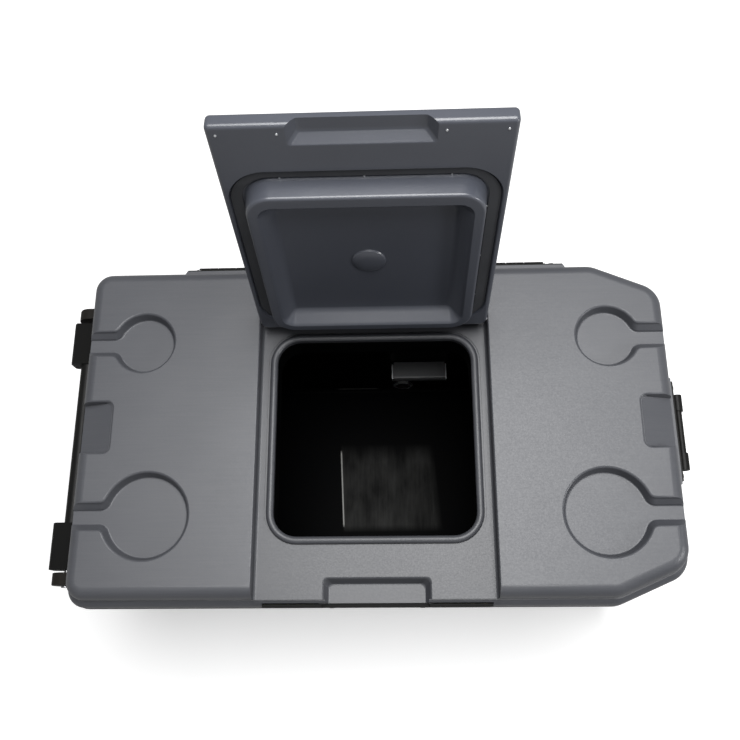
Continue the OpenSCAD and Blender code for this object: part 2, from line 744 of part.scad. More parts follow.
module hatch() color(dark_grey) open_hatch() {
    slab_z = top_z - hatch_t;
    face_z = slab_z - plug_h;
    pan_floor = face_z + pan_depth;
    rim = pan_rim + plug_draft;
    barrel = hatch_w / 2 - 12;
    difference() {
        union() {
            difference() {
                translate([0, 0, slab_z]) linear_extrude(hatch_t) hatch_plan();
                opening_prism(groove_w - plug_gap, 0, slab_z + groove_depth, groove_end_w - plug_gap_y);
            }
            translate([0, opening_y, 0]) loft([plug_slice(face_z, plug_draft + 3),
                plug_slice(face_z + 1, plug_draft + 1), plug_slice(face_z + 3, plug_draft),
                plug_slice(slab_z, 0), plug_slice(slab_z + groove_depth + 1, 0)]);
            translate([0, pin_y, pin_z]) rod_x(pin_depth, -barrel, barrel);
        }
        translate([0, opening_y, 0]) loft([pan_slice(face_z - 1, rim - 2), pan_slice(face_z, rim - 2),
            pan_slice(face_z + 2, rim), pan_slice(pan_floor - 3, rim + pan_slope - 3),
            pan_slice(pan_floor, rim + pan_slope)]);
        for (s = [-1, 1]) scale([s, 1, 1]) translate([0, pin_y, pin_z])
            rod_x(pin_r + run_gap, hatch_w / 2 - pin_l - 1, big);
        // finger pocket, open at the tip, with sloping walls
        loft([for (t = [-1 / pocket_depth, 1]) let(w = pocket_w / 2 - t * pocket_slope)
            [slab_z + t * pocket_depth, [[-w, hatch_y0 - 1], [w, hatch_y0 - 1],
                [w, hatch_y0 + pocket_l - t * pocket_slope],
                [-w, hatch_y0 + pocket_l - t * pocket_slope]]]]);
    }
    translate([0, opening_y, pan_floor - boss_h]) {
        cylinder(r1 = boss_r - 2, r2 = boss_r, h = boss_h);
        translate([0, 0, boss_h - 1]) cylinder(r = boss_r, h = 2);
    }
}

module hatch_seal() color(black) open_hatch() {
    z = top_z - hatch_t + groove_depth;
    difference() {
        opening_prism(groove_w - plug_gap - 1, z - seal_t, z, groove_end_w - plug_gap_y - 0.4);
        opening_prism(0.6, z - seal_t - 1, z + 1);
    }
}

module hatch_pins() color(steel) seat() for (s = [-1, 1]) scale([s, 1, 1])
    translate([0, pin_y, pin_z]) rod_x(pin_r, hatch_w / 2 - pin_l, channel_w / 2 + pin_seat);

// Tub

// Drafted block: the lid's outline at the rim, drawn in by the draft at the base
module tub_block(inset, z0, z1) loft([for (s = [[z0, 7], [z0 + 4, 2.5], [z0 + 11, 0], [z1, 0]])
    let(g = -tub_draft * (rim_z - s[0]) / (rim_z - ground_gap) - s[1])
        [s[0], outline_points(skirt_side + g, skirt_front + g, skirt_back + g, inset)]]);

// Drafted block of the liner, rounded along its floor
module liner_block(inset, z0, z1) loft([for (s = [[z0, 8], [z0 + 3, 3], [z0 + 9, 0], [z1, 0]])
    let(g = inset + liner_draft * (rim_z - s[0]) / (rim_z - floor_h) + s[1])
        [s[0], rect_points(liner_w - 2 * g, liner_d - 2 * g, liner_r - s[1])]]);

// The raised floor over the axle, seen from below; grow thickens it
module hump(grow)
    block(liner_w / 2 - liner_draft - hump_l - grow, big, -big, big, 0, hump_h + grow - liner_wall);

// Wheel wells; grow thickens them
module wells(grow) for (s = [-1, 1]) scale([1, s, 1]) {
    r = wheel_r + well_gap + grow;
    translate([wheel_x, 0, wheel_r]) rod_y(r, well_in - grow, big);
    block(wheel_x - r, wheel_x + big, well_in - grow, big, -1, wheel_r);
    block(wheel_x, wheel_x + big, well_in - grow, big, -1, wheel_r + r);
}

module latch_recess(grow) {
    block(-recess_w / 2 - grow, recess_w / 2 + grow, -big, skirt_y + recess_depth + grow,
        rim_z - recess_h - grow, big);
}

module drain_place() translate([drain_x, 0, drain_h]) children();
drain_in = liner_d / 2 - liner_draft * (rim_z - drain_h) / (rim_z - floor_h);
drain_out = deck_d / 2 + skirt_back - tub_draft * (rim_z - drain_h) / (rim_z - ground_gap);
// Both walls slope, so that the flanges meet them at one edge only
drain_boss_y = drain_in + liner_wall + (drain_r + 6) * liner_draft / (rim_z - floor_h) + 0.05;
nut_y = drain_in - (drain_r + 3) * liner_draft / (rim_z - floor_h) - 0.05;
washer_y = drain_out + (drain_r + 7) * tub_draft / (rim_z - ground_gap) + 0.05;

module tub_shell() color(grey) seat() difference() {
    union() {
        tub_block(0, ground_gap, rim_z);
        // boss behind the hinge
        boss_block(liner_d / 2, rim_z - tub_leaf_h - 3 * leaf_edge, rim_z);
        // pad behind the tie bar's plate
        block(liner_w / 2, deck_w / 2 + side_pad, side_y - side_plate_l / 2 - 4,
            side_y + side_plate_l / 2 + 4, side_z - side_plate_h, rim_z);
    }
    difference() {
        tub_block(tub_wall, ground_gap + tub_wall, rim_z + 1);
        wells(tub_wall);
        latch_recess(tub_wall);
        drain_place() rod_y(drain_r + 6, drain_boss_y, big);
    }
    wells(0);
    latch_recess(0);
    drain_place() rod_y(drain_r, 0, big);
    translate([wheel_x, 0, wheel_r]) rod_y(axle_r, -big, big);
}

module tub_foam() color(foam_colour) seat() difference() {
    tub_block(tub_wall + 0.05, ground_gap + tub_wall, rim_z - liner_wall);
    difference() {
        liner_block(-liner_wall, liner_base, rim_z);
        hump(0);
    }
    wells(tub_wall);
    latch_recess(tub_wall);
    drain_place() rod_y(drain_r + 6, 0, big);
    translate([wheel_x, 0, wheel_r]) rod_y(axle_r, -big, big);
}

module liner() color(black) seat() difference() {
    union() {
        difference() {
            liner_block(-liner_wall, liner_base, rim_z);
            hump(0);
        }
        difference() {
            // its edge clears the slope of the tub's wall
            translate([0, 0, rim_z - liner_wall]) linear_extrude(liner_wall)
                outline(skirt_side, skirt_front, skirt_back,
                    tub_wall + liner_wall * tub_draft / (rim_z - ground_gap) + 0.25);
            latch_recess(tub_wall);
        }
    }
    difference() {
        liner_block(0, floor_h, rim_z + 1);
        hump(liner_wall);
    }
    drain_place() rod_y(drain_r, 0, big);
}

box_y = liner_d / 2 - liner_draft * (rim_z - floor_h - box_up) / (rim_z - floor_h) - 0.02;
module wall_box_at() translate([box_x, box_y, floor_h + box_up]) children();

module wall_box() color(dark_grey) seat() wall_box_at() {
    // its back follows the slope of the liner
    lean = liner_draft * box_h / (rim_z - floor_h);
    bar_x([[-box_d, 2], [-box_d + 2, 0], [0, 0], [lean, box_h], [-box_d + 2, box_h], [-box_d, box_h - 2]],
        -box_w / 2, box_w / 2);
}

module wall_box_rails() color(steel) seat() wall_box_at() for (s = [-1, 1])
    translate([s * (box_w / 2 + 1), 0, 0]) block(-1, 1, -box_d, -2, 2, box_h - 2);

module drain_tube() color(black) seat() drain_place() difference() {
    rod_y(drain_r, drain_in - 5, drain_out + 6);
    rod_y(drain_bore_r, 0, big);
}

module drain_nut() color(steel) seat() drain_place() difference() {
    union() {
        translate([0, drain_in - 5, 0]) rotate([-90, 0, 0]) cylinder(r = drain_r + 5, h = 4, $fn = 6);
        rod_y(drain_r + 3, nut_y - 1.2, nut_y);
    }
    rod_y(drain_r, 0, big);
}

module drain_washer() color(black) seat() drain_place() difference() {
    rod_y(drain_r + 7, washer_y, washer_y + 2);
    rod_y(drain_r, 0, big);
}

module drain_cap() color(black) seat() drain_place() {
    y = washer_y + 2.4;
    difference() {
        rod_y(drain_r + 6, y, y + 10);
        rod_y(drain_r + run_gap, 0, drain_out + 6.5);
    }
    block(-3, 3, y + 10, y + 17, -drain_r - 4, drain_r + 4);
}

module foot_at(s) translate([-foot_x, s * foot_y, 0]) children();
module foot_front() color(black) seat() foot_at(-1) foot_form();
module foot_rear() color(black) seat() foot_at(1) foot_form();
module foot_form() difference() {
    cylinder(r1 = foot_r, r2 = foot_r - 3, h = ground_gap);
    translate([0, 0, -1]) cylinder(r = foot_bore_r, h = ground_gap / 2);
}

// Wheels

module axle() color(steel) seat() translate([wheel_x, 0, wheel_r])
    rod_y(axle_r, -wheel_y - wheel_w / 2 - 1, wheel_y + wheel_w / 2 + 1);

module axle_washers() color(steel) seat() for (s = [-1, 1]) scale([1, s, 1])
    translate([wheel_x, 0, wheel_r]) difference() {
        rod_y(axle_r + 8, well_in, wheel_y - wheel_w / 2 - 0.5);
        rod_y(axle_r, 0, big);
    }

module axle_caps() color(steel) seat() for (s = [-1, 1]) scale([1, s, 1])
    translate([wheel_x, wheel_y + wheel_w / 2 - 4, wheel_r]) difference() {
        union() {
            rod_y(axle_r + 4, 0, 2);
            rod_y(axle_r + 2, 0, 6.5);
        }
        rod_y(axle_r, -1, 5);
    }

module hub(s) color(black) seat() scale([1, s, 1]) translate([wheel_x, wheel_y, wheel_r]) {
    r = wheel_r - tyre_t;
    h = wheel_w / 2;
    difference() {
        union() {
            rod_y(r, -h + 2, h - 6);
            rod_y(axle_r + 10, -h + 0.5, h - 4.5);
        }
        rod_y(axle_r + run_gap, -big, big);
        // dish on the outer face, then the windows between the spokes
        difference() {
            rod_y(r - 5, h - 14, h);
            rod_y(axle_r + 10, -big, big);
        }
        for (i = [0:spokes - 1]) rotate([0, 360 * i / spokes, 0])
            translate([r * 0.6, 0, 0]) rod_y(r * 0.19, -big, big);
    }
}

module tyre(s) color(black) seat() scale([1, s, 1]) translate([wheel_x, wheel_y, wheel_r])
    rotate([-90, 0, 0]) rotate_extrude() {
        r = wheel_r - tyre_t;
        h = wheel_w / 2;
        e = 6;
        polygon(concat([[r, -h + 2], [r + 2, -h]], arc(wheel_r - e, -h + e, e, 270, 360, 4),
            arc(wheel_r - e, h - e, e, 0, 90, 4), [[r + 2, h], [r, h - 2]]));
    }

module hub_front() hub(-1);
module hub_rear() hub(1);
module tyre_front() tyre(-1);
module tyre_rear() tyre(1);

// Tow handle

module tow_at() translate([tow_x, tow_y, tow_z]) children();

// s is -1 for the front one and 1 for the rear one
module tow_bracket(s) color(black) seat() tow_at() scale([1, s, 1]) {
    wall = tow_axis_out - skirt_side;
    difference() {
        union() {
            block(wall - 3, wall, tow_bar_l / 2 - 2, tow_ear_y + tow_ear_t + 6, 22 - tow_plate_h, 22);
            rod_y(tow_out - tow_axis_out - 4, tow_ear_y, tow_ear_y + tow_ear_t);
            block(0, wall, tow_ear_y, tow_ear_y + tow_ear_t, -tow_ear_h / 2, tow_ear_h / 2);
        }
        rod_y(tow_pin_r, 0, big);
    }
}
module tow_bracket_front() tow_bracket(-1);
module tow_bracket_rear() tow_bracket(1);

module tow_pins() color(steel) seat() tow_at() for (s = [-1, 1]) scale([1, s, 1]) {
    rod_y(tow_pin_r, tow_ear_y - tow_ear_gap - 22, tow_ear_y + tow_ear_t + 2);
    rod_y(tow_pin_r + 2, tow_ear_y + tow_ear_t, tow_ear_y + tow_ear_t + 2.5);
}

module tow_tube() color(black) seat() tow_at() difference() {
    rod_y(tow_tube_r, -tow_bar_l / 2 - 20, tow_bar_l / 2 + 20);
    rod_y(tow_tube_r - 2, -big, big);
}

module tow_arm(s) color(black) seat() tow_at() scale([1, s, 1]) {
    y0 = tow_bar_l / 2;
    y1 = y0 + tow_block_l;
    out = -(tow_out - tow_axis_out);
    inn = tow_axis_out - skirt_side - 8;
    h = tow_block_h / 2;
    difference() {
        union() {
            bar_y([[out, -h + 3], [out + 3, -h], [inn - 3, -h], [inn, -h + 3], [inn, h - 3], [inn - 3, h],
                [out + 4, h], [out, h - 4]], y0, y1);
            // arm, narrower towards the grip
            bar_y([[-11, 0], [-9, -tow_arm_l], [9, -tow_arm_l], [11, 0]], y1 - tow_arm_w, y1);
            translate([0, 0, -tow_arm_l]) rod_y(grip_r, y1 - tow_arm_w, y1);
        }
        rod_y(tow_tube_r, 0, y0 + 20);
        rod_y(tow_pin_r + run_gap, y0 + 30, big);
        translate([0, 0, -tow_arm_l]) rod_y(grip_r - 5, 0, y1 - 8);
    }
}
module tow_arm_front() tow_arm(-1);
module tow_arm_rear() tow_arm(1);

module tow_rail() color(steel) seat() tow_at() translate([0, 0, -tow_arm_l]) {
    y = tow_bar_l / 2 + tow_block_l - 8;
    difference() {
        rod_y(grip_r - 5, -y, y);
        rod_y(grip_r - 7, -big, big);
    }
}

module tow_grip() color(black) seat() tow_at() translate([0, 0, -tow_arm_l]) difference() {
    union() {
        rod_y(grip_r, -grip_l / 2, grip_l / 2);
        for (s = [-1, 1]) translate([0, s * (grip_l / 2 - 3), 0]) rod_y(grip_r + 2, -3, 3);
    }
    rod_y(grip_r - 5, -big, big);
}

// Tie bar on the right

module side_at() translate([0, side_y, side_z]) children();

module side_base() color(black) seat() side_at() {
    x = deck_w / 2 + side_pad;
    block(x, x + side_plate_t, -side_plate_l / 2, side_plate_l / 2,
        side_plate_up - side_plate_h, side_plate_up);
    for (s = [-1, 1]) scale([1, s, 1]) translate([side_x, 0, 0]) difference() {
        y0 = side_bar_l / 2;
        y1 = y0 + side_knuckle_l;
        union() {
            rod_y(side_rod_r + 2, y0, y1);
            block(x - side_x, 0, y0, y1, -side_rod_r - 2, side_rod_r);
        }
        rod_y(side_rod_r, -1, big);
    }
}

module side_rod() color(steel) seat() side_at() translate([side_x, 0, 0])
    rod_y(side_rod_r, -side_bar_l / 2 - side_knuckle_l + 1, side_bar_l / 2 + side_knuckle_l - 1);

module side_screws() color(steel) seat() side_at()
    for (y = [-1, 1], z = [side_plate_up - side_screw_in, side_plate_up - side_plate_h + side_screw_in])
        translate([deck_w / 2 + side_pad + side_plate_t, y * (side_plate_l / 2 - side_screw_in), z])
            rod_x(screw_r, 0, screw_h);

// Front latch

module latch_at() translate([0, latch_y, latch_z]) children();

module latch_base() color(black) seat() {
    back = recess_depth - 9;
    x = strap_w / 2 + 0.5;
    latch_at() for (s = [-1, 1]) scale([s, 1, 1]) difference() {
        union() {
            block(x, recess_w / 2, back - 3, back, -latch_plate_down, latch_plate_up);
            block(x, x + latch_ear_w, 0, back, -latch_ear_r, latch_ear_r);
            rod_x(latch_ear_r, x, x + latch_ear_w);
        }
        rod_x(latch_pin_r, -big, big);
    }
}

module latch_pin() color(steel) seat() latch_at()
    rod_x(latch_pin_r, -strap_w / 2 - latch_ear_w - 0.5, strap_w / 2 + latch_ear_w + 0.5);

// Hanging down; turned up, its hook goes over the keeper
module latch_strap() color(black) seat() latch_at() {
    off = strap_off;
    reach = latch_drop + keeper_h + 0.5;
    t = strap_t / 2;
    difference() {
        union() {
            rod_x(6, -strap_w / 2, strap_w / 2);
            bar_x([[0, -5], [off - t, -12], [off - t, -reach - 10], [off + 1, -reach - 14],
                [off + t, -reach - 10], [off + t, -8], [4, 0]], -strap_w / 2, strap_w / 2);
            block(-strap_w / 2, strap_w / 2, off - t - keeper_t, off, -reach - hook_t, -reach);
        }
        rod_x(latch_pin_r + run_gap, -big, big);
    }
}

// Strip in the set-back of the lid, lower where the hook goes over it
module latch_keeper() color(black) seat() translate([0, skirt_y + skirt_set_back, 0]) difference() {
    block(notch_x - set_back_w / 2, notch_x + set_back_w / 2, -keeper_t, 0, lid_z, lid_z + keeper_side_h);
    block(-keeper_mid_w / 2, keeper_mid_w / 2, -big, big, lid_z + keeper_h, big);
}

tub_shell();
tub_foam();
liner();
wall_box();
wall_box_rails();
drain_tube();
drain_nut();
drain_washer();
drain_cap();
foot_front();
foot_rear();
tub_hinge_leaf();
tub_hinge_screws();
hinge_rods();
axle();
axle_washers();
axle_caps();
hub_front();
tyre_front();
hub_rear();
tyre_rear();
latch_base();
latch_pin();
latch_strap();
tow_bracket_front();
tow_bracket_rear();
tow_pins();
tow_tube();
tow_arm_front();
tow_arm_rear();
tow_rail();
tow_grip();
side_base();
side_rod();
side_screws();
deck();
deck_foam();
deck_pan();
deck_seal();
lid_hinge_leaf();
lid_hinge_screws();
latch_keeper();
hatch();
hatch_seal();
hatch_pins();
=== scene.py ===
import json
import math
import bpy
import bmesh
from mathutils import Matrix, Vector


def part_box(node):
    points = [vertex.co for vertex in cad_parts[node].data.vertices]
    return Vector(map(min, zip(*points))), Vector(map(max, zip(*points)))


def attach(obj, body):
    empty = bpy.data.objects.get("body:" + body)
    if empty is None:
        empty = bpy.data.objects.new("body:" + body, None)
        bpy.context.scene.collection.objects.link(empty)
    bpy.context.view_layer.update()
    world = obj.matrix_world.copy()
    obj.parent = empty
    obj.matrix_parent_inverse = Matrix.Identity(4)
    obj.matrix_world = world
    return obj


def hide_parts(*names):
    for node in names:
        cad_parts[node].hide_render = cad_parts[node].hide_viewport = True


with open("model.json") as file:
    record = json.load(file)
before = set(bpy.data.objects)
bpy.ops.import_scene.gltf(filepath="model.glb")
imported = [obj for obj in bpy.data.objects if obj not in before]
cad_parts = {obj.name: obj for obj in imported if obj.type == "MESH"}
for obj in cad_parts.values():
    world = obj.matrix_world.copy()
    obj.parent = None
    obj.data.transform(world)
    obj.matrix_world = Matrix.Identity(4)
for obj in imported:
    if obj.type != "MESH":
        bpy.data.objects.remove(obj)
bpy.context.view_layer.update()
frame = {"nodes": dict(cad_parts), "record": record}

nodes = frame["nodes"]

# Sizes in millimetres: x and y count from the middle of the table, z from the ground
MM = 0.001
deck_low, deck_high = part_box("deck")
MID = (deck_low + deck_high) / 2
TOP = deck_high.z / MM
# the cutters that run out through the front reach to here
FAR_FRONT = -300

# Table: half sizes, levels, corners and edge
HALF_W, HALF_D = 380.0, 217.0
LID_BASE = TOP - 46
CHANNEL_Z = TOP - 20
SKIRT_TOP = TOP - 24
SKIRT_OUT = (4, 8, 2)
CORNER_R, CUT_R, CUT_RUN, CUT_RISE = 24.0, 34.0, 61.0, 26.0
EDGE_R = 16.0
RIM, CUP_RIM, SCOOP_RIM = 2.0, 3.6, 3.2
RIM_STEP, RIM_STEPS = 19.5, 4

# Channel, opening, finger notch and the lid's set-back front edge
CHANNEL_HALF, CHANNEL_BACK, CHANNEL_FILLET = 149.5, 149.5, 4.0
OPEN_W, OPEN_L, OPEN_R, OPEN_Y = 255.0, 259.0, 30.0, -11.5
GROOVE_OUT, GROOVE_IN = 12.0, 8.8
BEAD_MID, BEAD_R = 4.5, 5
NOTCH_X, NOTCH_HALF, NOTCH_BACK, NOTCH_R = 2.0, 65.5, -192, 6.0
SET_BACK, SET_BACK_HALF = 4.2, 141.5

# Cups with their slots, and scoops: x, y and radius of the cups
CUPS = ((303.4, 113.0, 41.0), (285.5, -116.0, 55.0))
CUP_DEPTH, CUP_DRAFT, CUP_FILLET, CUP_INSET = 14.0, 3.5, 2.5, 1.2
SLOT_HALF, SLOT_FLOOR_HALF, SLOT_BLEND, SLOT_REACH = 17.0, 9.75, 9.0, 240.0
SCOOP_Y, SCOOP_HALF, SCOOP_INNER, SCOOP_REACH, SCOOP_R, SCOOP_FILLET = -1.5, 33.5, 338.0, 430, 8.0, 2.0
SCOOP_DEPTH, SCOOP_FALL, SCOOP_RUN = 4.2, 14.8, 46.0

# Hatch, as it lies shut
PIN_Y, PIN_Z, OPEN_ANGLE = 142.0, TOP - 6, 100.0
HATCH_FRONT, HATCH_BACK, HATCH_HALF = -213.0, 140.0, 148.0
HATCH_FRONT_R, HATCH_BACK_R, HATCH_EDGE = 5.0, 12.0, 4.6
SLAB_Z = TOP - 18.0
FACE_Z = SLAB_Z - 21.0
PAN_Z = FACE_Z + 16.0
PLUG_GAP_X, PLUG_GAP_Y, PLUG_MIN_R = 1.8, 3.2, 4.0


def spot(x, y, z):
    """A place on the object, in metres in the row frame."""
    return Vector((MID.x + x * MM, MID.y + y * MM, z * MM))


def turns(step, count):
    """The angles 0, step, 2 step and so on, given in degrees, in radians."""
    return [math.radians(step * k) for k in range(count)]


# Plans and levels
def arc(cx, cy, r, a0, a1, n):
    angles = [math.radians(a0 + (a1 - a0) * i / n) for i in range(n + 1)]
    return [(cx + r * math.cos(a), cy + r * math.sin(a)) for a in angles]


def level(points, z):
    return [(x, y, z) for x, y in points]


def table_outline(side=0.0, front=0.0, back=0.0, inset=0.0):
    """Plan of the table: rounded at the left, cut corners at the right."""
    x_left, x_right = -HALF_W - side, HALF_W + side
    y_front, y_back = -HALF_D - front, HALF_D + back
    slant = math.degrees(math.atan2(CUT_RISE, CUT_RUN))
    round_r, cut_r = CORNER_R - inset, CUT_R - inset
    x_end, x_start = x_right - CUT_R, x_right - CUT_R - CUT_RUN
    y_start, y_end = CUT_R, CUT_R + CUT_RISE
    return (arc(x_left + CORNER_R, y_front + CORNER_R, round_r, 180, 270, 10)
            + arc(x_start, y_front + y_start, cut_r, 270, 270 + slant, 4)
            + arc(x_end, y_front + y_end, cut_r, 270 + slant, 360, 10)
            + arc(x_end, y_back - y_end, cut_r, 0, 90 - slant, 10)
            + arc(x_start, y_back - y_start, cut_r, 90 - slant, 90, 4)
            + arc(x_left + CORNER_R, y_back - CORNER_R, round_r, 90, 180, 10))


def rounded_rect(cx, cy, width, length, r):
    x, y = width / 2 - r, length / 2 - r
    return (arc(cx + x, cy + y, r, 0, 90, 10) + arc(cx - x, cy + y, r, 90, 180, 10)
            + arc(cx - x, cy - y, r, 180, 270, 10) + arc(cx + x, cy - y, r, 270, 360, 10))


def open_front(x, half, front, back, r):
    """Plan of a rectangle whose corners are rounded at the back only."""
    return ([(x - half, front), (x + half, front)] + arc(x + half - r, back - r, r, 0, 90, 4)
            + arc(x - half + r, back - r, r, 90, 180, 4))


def rolled_rim(z_wall, r=RIM):
    """Levels of a wall's upper end that rolls outwards into the table: (grow, z)."""
    out = [(0.0, z_wall)]
    for t in turns(RIM_STEP, RIM_STEPS + 1)[1:]:
        out.append((r * (1 - math.cos(t)), TOP - r + r * math.sin(t)))
    grow, z = out[-1]
    out.append((grow + 1.5, z + 1.5 / math.tan(math.radians(RIM_STEP * RIM_STEPS))))
    return out


# Modelling steps
def activate(obj):
    bpy.ops.object.select_all(action="DESELECT")
    obj.select_set(True)
    bpy.context.view_layer.objects.active = obj
    return obj


def apply_all(obj):
    activate(obj)
    for modifier in list(obj.modifiers):
        bpy.ops.object.modifier_apply(modifier=modifier.name)
    return obj


def lofted(name, rings):
    """A closed solid extruded through rings of (x, y, z) in millimetres, all of one length."""
    bpy.ops.object.select_all(action="DESELECT")
    bpy.ops.mesh.primitive_circle_add(vertices=len(rings[0]), radius=1, fill_type="NGON")
    obj = bpy.context.active_object
    obj.name = name
    turn = obj.data.attributes.new("turn", "INT", "POINT")
    for i in range(len(rings[0])):
        turn.data[i].value = i
    bpy.ops.object.mode_set(mode="EDIT")
    bpy.ops.mesh.select_all(action="SELECT")
    for k, ring in enumerate(rings):
        if k:
            bpy.ops.mesh.extrude_region_move()
        bm = bmesh.from_edit_mesh(obj.data)
        layer = bm.verts.layers.int["turn"]
        for v in bm.verts:
            if v.select:
                v.co = spot(*ring[v[layer]])
        bmesh.update_edit_mesh(obj.data)
    bpy.ops.mesh.select_all(action="SELECT")
    bpy.ops.mesh.normals_make_consistent(inside=False)
    bpy.ops.object.mode_set(mode="OBJECT")
    obj.data.attributes.remove(obj.data.attributes["turn"])
    return obj


def block(name, x0, x1, y0, y1, z0, z1):
    bpy.ops.object.select_all(action="DESELECT")
    bpy.ops.mesh.primitive_cube_add(size=1, location=(spot(x0, y0, z0) + spot(x1, y1, z1)) / 2)
    obj = bpy.context.active_object
    obj.name = name
    obj.scale = ((x1 - x0) * MM, (y1 - y0) * MM, (z1 - z0) * MM)
    bpy.ops.object.transform_apply(location=True, rotation=True, scale=True)
    return obj


def rod(name, axis, centre, r, length, sides):
    """A round rod about X or Z, centred on a place."""
    turn = {"X": (0, math.pi / 2, 0), "Z": (0, 0, 0)}[axis]
    bpy.ops.object.select_all(action="DESELECT")
    bpy.ops.mesh.primitive_cylinder_add(vertices=sides, radius=r * MM, depth=length * MM,
                                        location=spot(*centre), rotation=turn)
    obj = bpy.context.active_object
    obj.name = name
    bpy.ops.object.transform_apply(location=True, rotation=True, scale=True)
    return obj


def combine(target, tool, operation="DIFFERENCE"):
    modifier = target.modifiers.new(operation.lower(), "BOOLEAN")
    modifier.operation = operation
    modifier.solver = "EXACT"
    modifier.object = tool
    apply_all(target)
    bpy.data.objects.remove(tool)
    return target


def bevel_sharp(obj, width, segments, degrees):
    """Bevels the edges that are sharper than an angle."""
    activate(obj)
    bpy.ops.object.mode_set(mode="EDIT")
    bpy.ops.mesh.select_all(action="DESELECT")
    bpy.ops.mesh.select_mode(type="EDGE")
    bm = bmesh.from_edit_mesh(obj.data)
    bm.normal_update()
    for e in bm.edges:
        if len(e.link_faces) == 2 and e.calc_face_angle(0) > math.radians(degrees):
            e.select_set(True)
    bmesh.update_edit_mesh(obj.data)
    bpy.ops.mesh.bevel(offset=width * MM, segments=segments, profile=0.5, affect="EDGES",
                       clamp_overlap=True)
    bpy.ops.object.mode_set(mode="OBJECT")
    return obj


def softened(node, width):
    """A copy of a CAD node as one clean mesh with its edges rounded off."""
    obj = bpy.data.objects.new(node + "_soft", nodes[node].data.copy())
    bpy.context.scene.collection.objects.link(obj)
    obj.data.materials.clear()
    activate(obj)
    bpy.ops.object.mode_set(mode="EDIT")
    bpy.ops.mesh.select_all(action="SELECT")
    bpy.ops.mesh.customdata_custom_splitnormals_clear()
    bpy.ops.mesh.remove_doubles(threshold=0.00002)
    bpy.ops.mesh.dissolve_limited(angle_limit=math.radians(1.0), delimit={"NORMAL"})
    bpy.ops.object.mode_set(mode="OBJECT")
    modifier = obj.modifiers.new("edges", "BEVEL")
    modifier.width = width * MM
    modifier.segments = 2
    modifier.limit_method = "ANGLE"
    modifier.angle_limit = math.radians(35)
    return apply_all(obj)


def smooth(obj, degrees):
    """Smooth shading up to an angle, with wide faces kept flat."""
    activate(obj)
    bpy.ops.object.shade_smooth_by_angle(angle=math.radians(degrees))
    modifier = obj.modifiers.new("flats", "WEIGHTED_NORMAL")
    modifier.keep_sharp = True
    modifier.weight = 100
    return apply_all(obj)


def done(obj, body, material, slot, *replaced, angle=32):
    """Finishes a piece: clean normals, material, body and the nodes that it stands for. The slot is not
    used.
    """
    smooth(obj, angle)
    obj.data.materials.clear()
    obj.data.materials.append(material)
    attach(obj, body)
    if replaced:
        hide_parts(*replaced)
    return obj


def joined(name, objs):
    bpy.ops.object.select_all(action="DESELECT")
    for obj in objs:
        obj.select_set(True)
    bpy.context.view_layer.objects.active = objs[0]
    bpy.ops.object.join()
    objs[0].name = name
    return objs[0]


# Materials
class Wire:
    """A socket of a node tree that can be used in arithmetic."""

    def __init__(self, tree, socket):
        self.tree, self.socket = tree, socket

    def _math(self, operation, a, b):
        n = self.tree.nodes.new("ShaderNodeMath")
        n.operation = operation
        for socket, value in zip(n.inputs, (a, b)):
            feed(self.tree, socket, value)
        return Wire(self.tree, n.outputs[0])

    def __add__(self, other):
        return self._math("ADD", self, other)

    def __radd__(self, other):
        return self._math("ADD", other, self)

    def __sub__(self, other):
        return self._math("SUBTRACT", self, other)

    def __mul__(self, other):
        return self._math("MULTIPLY", self, other)


def feed(tree, socket, value):
    if isinstance(value, Wire):
        tree.links.new(value.socket, socket)
    elif isinstance(value, (tuple, list)) and len(value) == 3 and socket.type == "RGBA":
        socket.default_value = (*value, 1.0)
    else:
        socket.default_value = value


class Finish:
    """A material and the nodes that make its pattern."""

    def __init__(self, name):
        self.material = bpy.data.materials.new(name)
        self.material.use_nodes = True
        self.tree = self.material.node_tree
        self.shader = self.tree.nodes["Principled BSDF"]
        self.place = Wire(self.tree, self.tree.nodes.new("ShaderNodeTexCoord").outputs["Object"])

    def node(self, kind, operation=None, output=0, **inputs):
        n = self.tree.nodes.new("ShaderNode" + kind)
        if operation:
            n.operation = operation
        for key, value in inputs.items():
            feed(self.tree, n.inputs[key.replace("_", " ")], value)
        return Wire(self.tree, n.outputs[output])

    def axes(self):
        return [self.node("SeparateXYZ", output=i, Vector=self.place) for i in range(3)]

    def stretched(self, x, y, z):
        return self.node("Mapping", Vector=self.place, Scale=(x, y, z))

    def noise(self, scale, detail=2.0, where=None):
        return self.node("TexNoise", Vector=where or self.place, Scale=scale, Detail=detail, Roughness=0.5)

    def clamp(self, value, low, high):
        """Maps low..high to 0..1."""
        n = self.tree.nodes.new("ShaderNodeMapRange")
        feed(self.tree, n.inputs["Value"], value)
        n.inputs["From Min"].default_value, n.inputs["From Max"].default_value = low, high
        return Wire(self.tree, n.outputs[0])

    def blend(self, mask, a, b):
        n = self.tree.nodes.new("ShaderNodeMix")
        n.data_type = "RGBA"
        feed(self.tree, n.inputs["Factor"], mask)
        feed(self.tree, n.inputs[6], a)
        feed(self.tree, n.inputs[7], b)
        return Wire(self.tree, n.outputs[2])

    def bump(self, height, strength, distance):
        return self.node("Bump", Height=height, Strength=strength, Distance=distance)

    def set(self, **inputs):
        for key, value in inputs.items():
            feed(self.tree, self.shader.inputs[key.replace("_", " ")], value)
        return self.material


